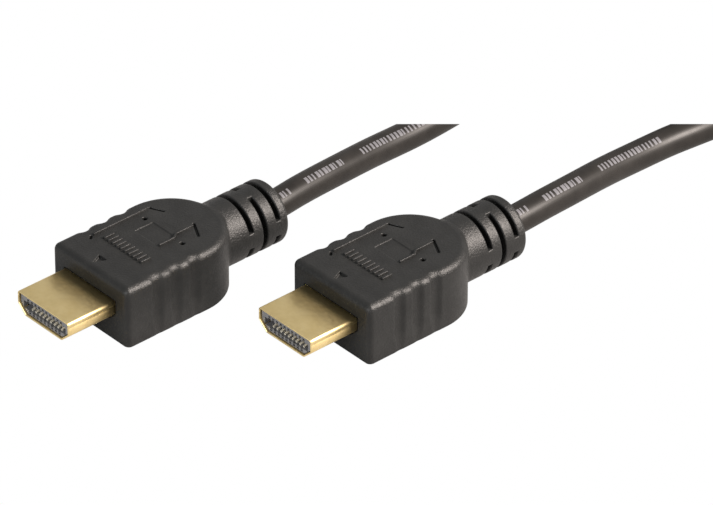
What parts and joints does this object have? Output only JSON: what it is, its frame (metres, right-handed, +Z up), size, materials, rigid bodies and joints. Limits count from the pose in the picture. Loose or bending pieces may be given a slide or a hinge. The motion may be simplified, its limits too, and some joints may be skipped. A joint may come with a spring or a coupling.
{
  "type": "digital video and audio cable",
  "caption": "Round black cord with a moulded plug on each end, for carrying digital picture and sound between a player and a screen.",
  "frame": {"origin": "on the floor, in the middle of the common box of the two plugs, without the cord", "axes": "+Z up; +Y from the plugs' mouths towards the cord; +X across the plugs, from plug a to plug b"},
  "size_m": [0.0617, 0.2354, 0.0172],
  "materials": {
    "gold_shell": "bright gold-plated pressed metal",
    "gold_contact": "bright gold-plated strip",
    "insulator": "black moulded plastic",
    "overmould": "satin black moulded PVC, finely grained",
    "jacket": "smooth black PVC cord jacket",
    "tie": "black hook-and-loop strap"
  },
  "bodies": {
    "root": {"plug_a_shell": "gold_shell", "plug_a_insulator": "insulator", "plug_a_upper_contact_01": "gold_contact", "plug_a_upper_contact_02": "gold_contact", "plug_a_upper_contact_03": "gold_contact", "plug_a_upper_contact_04": "gold_contact", "plug_a_upper_contact_05": "gold_contact", "plug_a_upper_contact_06": "gold_contact", "plug_a_upper_contact_07": "gold_contact", "plug_a_upper_contact_08": "gold_contact", "plug_a_upper_contact_09": "gold_contact", "plug_a_upper_contact_10": "gold_contact", "plug_a_lower_contact_01": "gold_contact", "plug_a_lower_contact_02": "gold_contact", "plug_a_lower_contact_03": "gold_contact", "plug_a_lower_contact_04": "gold_contact", "plug_a_lower_contact_05": "gold_contact", "plug_a_lower_contact_06": "gold_contact", "plug_a_lower_contact_07": "gold_contact", "plug_a_lower_contact_08": "gold_contact", "plug_a_lower_contact_09": "gold_contact", "plug_a_overmould": "overmould", "plug_b_shell": "gold_shell", "plug_b_insulator": "insulator", "plug_b_upper_contact_01": "gold_contact", "plug_b_upper_contact_02": "gold_contact", "plug_b_upper_contact_03": "gold_contact", "plug_b_upper_contact_04": "gold_contact", "plug_b_upper_contact_05": "gold_contact", "plug_b_upper_contact_06": "gold_contact", "plug_b_upper_contact_07": "gold_contact", "plug_b_upper_contact_08": "gold_contact", "plug_b_upper_contact_09": "gold_contact", "plug_b_upper_contact_10": "gold_contact", "plug_b_lower_contact_01": "gold_contact", "plug_b_lower_contact_02": "gold_contact", "plug_b_lower_contact_03": "gold_contact", "plug_b_lower_contact_04": "gold_contact", "plug_b_lower_contact_05": "gold_contact", "plug_b_lower_contact_06": "gold_contact", "plug_b_lower_contact_07": "gold_contact", "plug_b_lower_contact_08": "gold_contact", "plug_b_lower_contact_09": "gold_contact", "plug_b_overmould": "overmould", "cord_lead_a": "jacket", "cord_lead_b": "jacket", "cord_hank": "jacket", "tie_left": "tie", "tie_right": "tie"}
  },
  "joints": []
}
